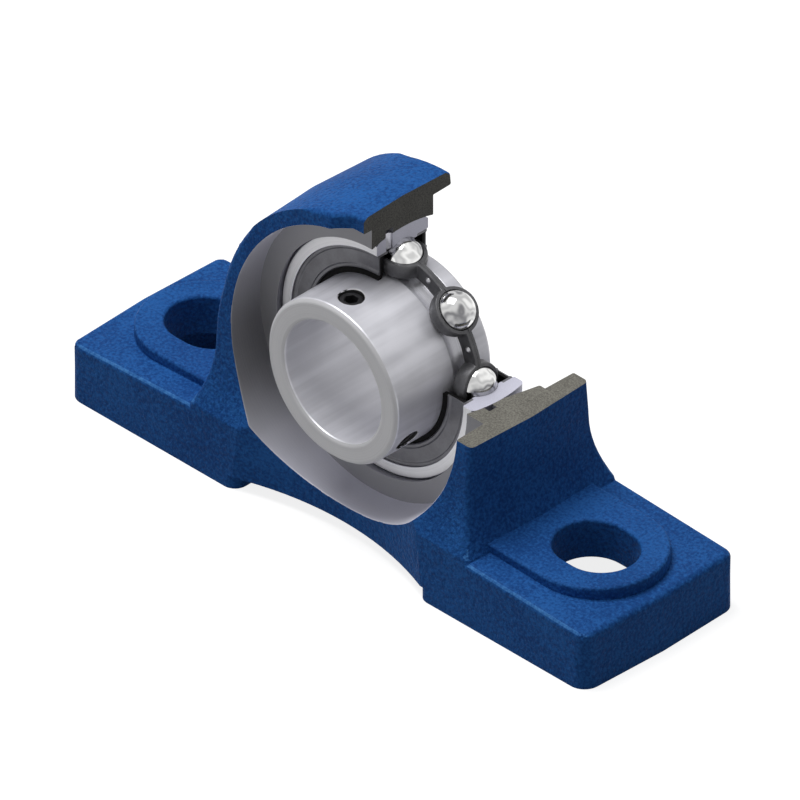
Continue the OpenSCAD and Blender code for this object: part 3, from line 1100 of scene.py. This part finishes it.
@dataclass
class Cage:
    """The two pressed cage halves and the rivets that join them."""

    axis: Axis
    count: int = BALLS
    pitch_r: float = PITCH_R
    sheet: float = 0.8
    head_r: float = 0.95
    head_h: float = 0.5
    head_segments: int = 24
    edge_round: float = 0.12

    def half(self, node: str, material: bpy.types.Material) -> bpy.types.Object:
        """One dressed half of the cage."""
        rules = [EdgeRule(self.edge_round, everywhere)]
        mesh = softened(merged(node), rules, sharp_deg=40.0, rounds=1)
        dress(mesh, material)
        mesh = smooth(mesh, 35.0)
        return show(f"dressed_{node}", mesh, "cage", [node])

    def rivet_tree(self, material: bpy.types.Material) -> bpy.types.NodeTree:
        """The tree that sets domed rivet heads round the pitch circle on both faces.

        Args:
            material: Finish of the rivets.

        Returns:
            A tree whose inputs are the circle's centre, radius, count and turn and a head's size.
        """
        tree = bpy.data.node_groups.new("rivet_tree", "GeometryNodeTree")
        tree.interface.new_socket("Geometry", in_out="OUTPUT", socket_type="NodeSocketGeometry")
        for name, kind in (
            ("Centre", "NodeSocketVector"),
            ("Pitch Radius", "NodeSocketFloat"),
            ("Count", "NodeSocketInt"),
            ("Head Radius", "NodeSocketFloat"),
            ("Head Stretch", "NodeSocketVector"),
            ("Turn", "NodeSocketVector"),
        ):
            tree.interface.new_socket(name, in_out="INPUT", socket_type=kind)
        given = tree.nodes.new("NodeGroupInput")
        result = tree.nodes.new("NodeGroupOutput")
        circle = tree.nodes.new("GeometryNodeMeshCircle")
        turn = tree.nodes.new("GeometryNodeTransform")
        head = tree.nodes.new("GeometryNodeMeshUVSphere")
        head.inputs["Segments"].default_value = self.head_segments
        head.inputs["Rings"].default_value = self.head_segments // 2
        flat = tree.nodes.new("GeometryNodeTransform")
        shade = tree.nodes.new("GeometryNodeSetShadeSmooth")
        place = tree.nodes.new("GeometryNodeInstanceOnPoints")
        real = tree.nodes.new("GeometryNodeRealizeInstances")
        finish = tree.nodes.new("GeometryNodeSetMaterial")
        finish.inputs["Material"].default_value = material
        link = tree.links.new
        link(given.outputs["Count"], circle.inputs["Vertices"])
        link(given.outputs["Pitch Radius"], circle.inputs["Radius"])
        link(circle.outputs["Mesh"], turn.inputs["Geometry"])
        link(given.outputs["Turn"], turn.inputs["Rotation"])
        link(given.outputs["Centre"], turn.inputs["Translation"])
        link(given.outputs["Head Radius"], head.inputs["Radius"])
        link(head.outputs["Mesh"], flat.inputs["Geometry"])
        link(given.outputs["Head Stretch"], flat.inputs["Scale"])
        link(flat.outputs["Geometry"], shade.inputs["Geometry"])
        link(turn.outputs["Geometry"], place.inputs["Points"])
        link(shade.outputs["Geometry"], place.inputs["Instance"])
        link(place.outputs["Instances"], real.inputs["Geometry"])
        link(real.outputs["Geometry"], finish.inputs["Geometry"])
        link(finish.outputs["Geometry"], result.inputs["Geometry"])
        return tree

    def rivets(self, material: bpy.types.Material) -> bpy.types.Object:
        """All the rivets, as one dressed piece on the cage."""
        reach = self.sheet + self.head_h
        inputs = {
            "Centre": self.axis.centre * MM,
            "Pitch Radius": self.pitch_r * MM,
            "Count": self.count,
            "Head Radius": self.head_r * MM,
            "Head Stretch": (1.0, reach / self.head_r, 1.0),
            "Turn": (math.pi / 2, math.pi / self.count, 0.0),
        }
        mesh = grown(self.rivet_tree(material), inputs)
        return show("dressed_rivets", mesh, "cage", ["cage_rivets"])

    def build(self) -> list[bpy.types.Object]:
        """The dressed cage."""
        steel = SheetSteel("cage_sheet", (0.115, 0.115, 0.122), (0.075, 0.075, 0.08), 0.5, 0.36).make()
        rivet = SheetSteel("rivet_steel", (0.52, 0.52, 0.54), (0.40, 0.40, 0.42), 0.8, 0.25).make()
        halves = [self.half(node, steel) for node in ("cage_front", "cage_rear")]
        return [*halves, self.rivets(rivet)]


@dataclass
class Seal:
    """One seal: a pressed shield with a rubber lip behind it."""

    axis: Axis
    side: Side
    edge_round: float = 0.12
    tip_r: float = 20.6
    tip_reach: float = 0.45
    tip_depth: float = 0.05

    def swell(self, mesh: bpy.types.Mesh) -> None:
        """Draws the lip's running edge out, so that it swells past the shield's rim."""
        tips = [vert for vert in mesh.vertices if self.axis.radius(vert.co / MM) < self.tip_r]
        outermost = max(abs(vert.co.y) for vert in tips)
        for vert in tips:
            if abs(vert.co.y) > outermost - self.tip_depth * MM:
                vert.co.y += math.copysign(self.tip_reach * MM, vert.co.y)

    def build(self, steel: bpy.types.Material, rubber: bpy.types.Material) -> list[bpy.types.Object]:
        """The dressed shield and lip.

        Args:
            steel: Finish of the shield.
            rubber: Finish of the lip.

        Returns:
            The two pieces.
        """
        end = self.side.name.lower()
        rules = [EdgeRule(0.0, self.axis.on_cut), EdgeRule(self.edge_round, everywhere)]
        pieces = []
        for part, finish, slot in (("shield", steel, "shield_steel"), ("lip", rubber, "lip_rubber")):
            node = f"seal_{end}_{part}"
            mesh = merged(node)
            if part == "lip":
                self.swell(mesh)
            mesh = softened(mesh, rules)
            dress(mesh, finish)
            mesh = smooth(mesh)
            pieces.append(show(f"dressed_{node}", mesh, "insert", [node]))
        return pieces


@dataclass
class SetScrews:
    """The two socket set screws in the inner ring."""

    edge_round: float = 0.1

    def build(self) -> list[bpy.types.Object]:
        """The dressed set screws."""
        black = SheetSteel("screw_black", (0.022, 0.022, 0.024), (0.012, 0.012, 0.013), 0.3, 0.34).make()
        pieces = []
        for node in ("set_screw_top", "set_screw_side"):
            mesh = softened(merged(node), [EdgeRule(self.edge_round, everywhere)])
            dress(mesh, black)
            mesh = smooth(mesh)
            pieces.append(show(f"dressed_{node}", mesh, "inner", [node]))
        return pieces


# The studio


@dataclass
class Studio:
    """Floor, lamp, world and camera."""

    back: Vector = field(default_factory=lambda: Vector((1.0, -1.0, 1.0)).normalized())
    aim: Vector = field(default_factory=lambda: Vector((-0.398, -0.398, 27.1)))
    view_mm: float = 176.61
    distance_mm: float = 900.0
    near_m: float = 0.01
    far_m: float = 10.0
    floor_mm: float = 3000.0
    floor_grey: float = 0.35
    floor_glow: float = 0.84
    world_level: float = 0.20
    lamp_from: Vector = field(default_factory=lambda: Vector((-0.22, -0.09, 0.97)).normalized())
    lamp_aim: Vector = field(default_factory=lambda: Vector((0.0, 0.0, 30.0)))
    lamp_mm: float = 520.0
    lamp_watts: float = 6.7

    def camera(self) -> None:
        """A parallel camera that looks down on the corner, as in the photograph."""
        data = bpy.data.cameras.new("camera")
        data.type = "ORTHO"
        data.ortho_scale = self.view_mm * MM
        data.clip_start = self.near_m
        data.clip_end = self.far_m
        camera = bpy.data.objects.new("camera", data)
        camera.location = (self.aim + self.back * self.distance_mm) * MM
        camera.rotation_mode = "QUATERNION"
        camera.rotation_quaternion = (-self.back).to_track_quat("-Z", "Y")
        bpy.context.scene.collection.objects.link(camera)
        bpy.context.scene.camera = camera

    def lamp(self) -> None:
        """A large square area lamp, nearly overhead, that looks at the bearing."""
        data = bpy.data.lights.new("key", "AREA")
        data.shape = "SQUARE"
        data.size = self.lamp_mm * MM
        data.energy = self.lamp_watts
        lamp = bpy.data.objects.new("key", data)
        lamp.location = (self.lamp_aim + self.lamp_from * self.distance_mm) * MM
        lamp.rotation_mode = "QUATERNION"
        lamp.rotation_quaternion = self.lamp_from.to_track_quat("Z", "Y")
        bpy.context.scene.collection.objects.link(lamp)

    def world(self) -> None:
        """A soft even world that the camera and mirrors see as white."""
        world = bpy.data.worlds.new("world")
        world.use_nodes = True
        back = world.node_tree.nodes["Background"]
        back.inputs["Color"].default_value = (1.0, 1.0, 1.0, 1.0)
        wiring = Wiring(world.node_tree)
        seen = wiring.ray("Camera").larger(wiring.ray("Glossy")).larger(wiring.ray("Transmission"))
        wiring.feed(back.inputs["Strength"], seen * (1.0 - self.world_level) + self.world_level)
        bpy.context.scene.world = world

    def floor(self) -> None:
        """A pale floor that shows white to the camera and keeps the shadow."""
        half = self.floor_mm / 2 * MM
        mesh = bpy.data.meshes.new("floor")
        corners = [(-half, -half, 0.0), (half, -half, 0.0), (half, half, 0.0), (-half, half, 0.0)]
        mesh.from_pydata(corners, [], [(0, 1, 2, 3)])
        floor = bpy.data.objects.new("floor", mesh)
        bpy.context.scene.collection.objects.link(floor)
        recipe = Recipe("pale_floor")
        grey = (self.floor_grey,) * 3
        recipe.put(base_color=grey, roughness=0.9, specular_ior_level=0.0, emission_strength=1.0)
        seen = recipe.ray("Camera").larger(recipe.ray("Glossy"))
        recipe.put(emission_color=seen * self.floor_glow)
        mesh.materials.append(recipe.material)

    def build(self) -> None:
        """The whole studio."""
        self.camera()
        self.world()
        self.floor()
        self.lamp()
        bpy.context.scene.view_settings.view_transform = "Standard"


def main() -> None:
    """Builds the bearing piece by piece and lights it."""
    logging.basicConfig(level=logging.INFO, format="%(message)s")
    axis = Axis()
    Studio().build()
    Housing(axis).build()
    OuterRing(axis).build()
    InnerRing(axis).build()
    BallSet(axis).build()
    Cage(axis).build()
    shield = SheetSteel("shield_sheet", (0.155, 0.155, 0.170), (0.118, 0.118, 0.130), 0.6, 0.34).make()
    rubber = LipRubber().make()
    for side in Side:
        Seal(axis, side).build(shield, rubber)
    SetScrews().build()


if __name__ == "__main__":
    main()
